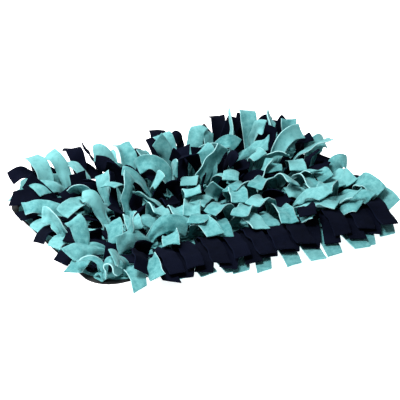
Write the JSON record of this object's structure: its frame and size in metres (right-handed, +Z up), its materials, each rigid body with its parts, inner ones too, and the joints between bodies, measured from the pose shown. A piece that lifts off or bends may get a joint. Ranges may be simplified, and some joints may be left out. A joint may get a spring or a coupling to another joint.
{
  "type": "snuffle mat",
  "caption": "Flat rectangular mat with rounded corners, covered with rows of knotted fleece strips whose loose tails stand and flop over its edges.",
  "frame": {"origin": "middle of the base's underside, which lies on the floor", "axes": "+X along the long side, +Y across the mat to its back, +Z up"},
  "size_m": [0.4946, 0.4067, 0.0797],
  "materials": {
    "base": "matt black",
    "aqua_fleece": "soft napped aqua fleece",
    "navy_fleece": "soft napped dark navy fleece"
  },
  "bodies": {
    "root": {"base": "base", "facing": "aqua_fleece", "row_01_aqua": "aqua_fleece", "row_02_navy": "navy_fleece", "row_03_aqua": "aqua_fleece", "row_04_navy": "navy_fleece", "row_05_aqua": "aqua_fleece", "row_06_navy": "navy_fleece", "row_07_aqua": "aqua_fleece", "row_08_navy": "navy_fleece", "row_09_aqua": "aqua_fleece", "row_10_navy": "navy_fleece"}
  },
  "joints": []
}
